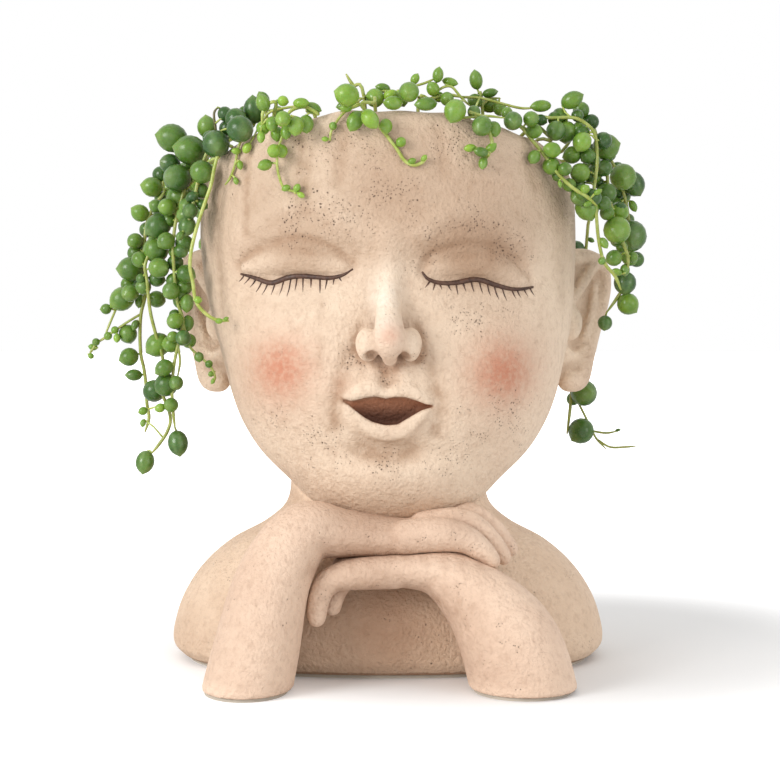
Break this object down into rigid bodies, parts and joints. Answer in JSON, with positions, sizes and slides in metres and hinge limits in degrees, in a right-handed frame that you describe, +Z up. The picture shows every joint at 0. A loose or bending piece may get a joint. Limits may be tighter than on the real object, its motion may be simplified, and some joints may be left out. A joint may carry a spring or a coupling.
{
  "type": "head planter",
  "caption": "Head-shaped garden planter on a low bust, its chin on folded hands, open at the forehead for a lift-out pot of trailing string-of-pearls.",
  "frame": {"origin": "middle of the base, on the plane that the pads stand on", "axes": "+Z up, the face looks along -Y, +X towards the object's left side"},
  "size_m": [0.1964, 0.1594, 0.2055],
  "materials": {
    "cast_clay": "matt, fine sandy skin",
    "pad_rubber": "matt",
    "plug_rubber": "matt",
    "pot_plastic": "satin",
    "mix": "loose peat, bark and grit",
    "leaf": "smooth, slightly glossy"
  },
  "bodies": {
    "planter": {"head_shell": "cast_clay", "left_ear": "cast_clay", "right_ear": "cast_clay", "bust": "cast_clay", "left_arm": "cast_clay", "right_arm": "cast_clay", "left_elbow_pad": "pad_rubber", "right_elbow_pad": "pad_rubber", "base_pad": "pad_rubber"},
    "drain_plug": {"drain_plug": "plug_rubber"},
    "planting": {"grow_pot": "pot_plastic", "potting_mix": "mix", "strand_01": "leaf", "strand_02": "leaf", "strand_03": "leaf", "strand_04": "leaf", "strand_05": "leaf", "strand_06": "leaf", "strand_07": "leaf", "strand_08": "leaf", "strand_09": "leaf", "strand_10": "leaf", "strand_11": "leaf", "strand_12": "leaf", "strand_13": "leaf", "strand_14": "leaf", "strand_15": "leaf", "strand_16": "leaf", "strand_17": "leaf", "strand_18": "leaf", "shoot_1": "leaf", "shoot_2": "leaf", "shoot_3": "leaf", "shoot_4": "leaf"}
  },
  "joints": [
    {"name": "planting_lift", "type": "slide", "parent": "planter", "child": "planting", "axis": [0, 0, 1], "range_m": [0, 0.13]},
    {"name": "plug_pull", "type": "slide", "parent": "planter", "child": "drain_plug", "axis": [0, 0, -1], "range_m": [0, 0.08]}
  ]
}
